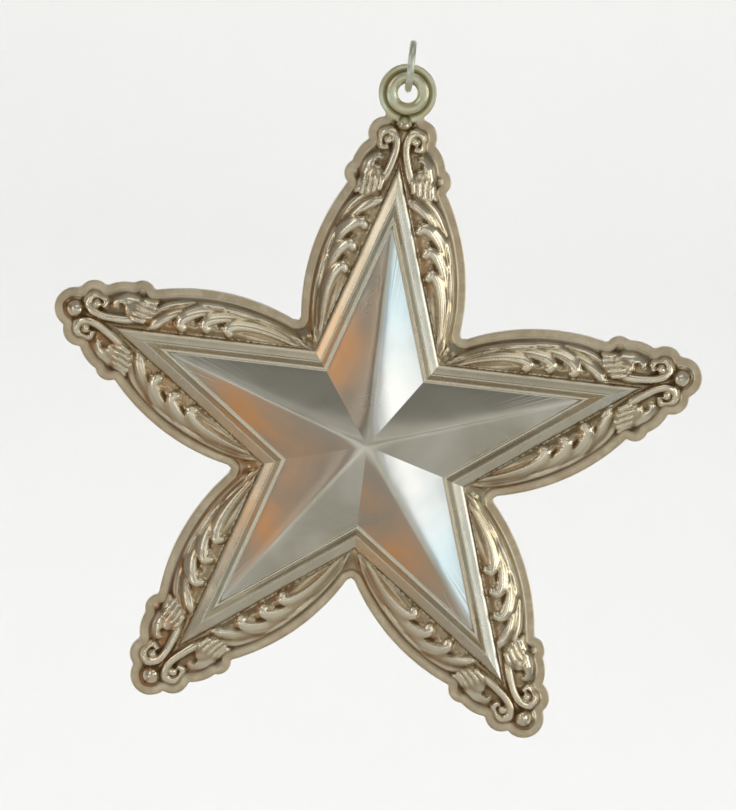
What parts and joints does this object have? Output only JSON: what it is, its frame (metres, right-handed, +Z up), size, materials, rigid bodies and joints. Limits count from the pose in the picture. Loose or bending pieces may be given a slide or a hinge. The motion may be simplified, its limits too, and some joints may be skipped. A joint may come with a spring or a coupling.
{
  "type": "star ornament",
  "caption": "Hanging star ornament struck in silver, with smooth facets, a moulding, an acanthus leaf border, a flat back and a jump ring in the eyelet at its top.",
  "frame": {"origin": "top of the inside of the jump ring, where a hook or a ribbon holds the ornament", "axes": "+Z up along the top arm, the struck face looks along -Y, +X to the right of someone who looks at the back"},
  "size_m": [0.0762, 0.0094, 0.08],
  "materials": {
    "jump_ring": "drawn silver wire, worn bright with a thin greenish tarnish",
    "front_shell": "polished silver, tarnished brown in the recesses of the leaves",
    "rim_solder": "dull silver solder, filed flush with the edge",
    "back_plate": "plain silver sheet with a soft satin wear"
  },
  "bodies": {
    "ring": {"jump_ring": "jump_ring"},
    "star": {"front_shell": "front_shell", "rim_solder": "rim_solder", "back_plate": "back_plate"}
  },
  "joints": [
    {"name": "star_swing", "type": "hinge", "parent": "ring", "child": "star", "pos_m": [0, 0, -0.00496], "axis": [0, 1, 0], "range_deg": [-120, 120]}
  ]
}
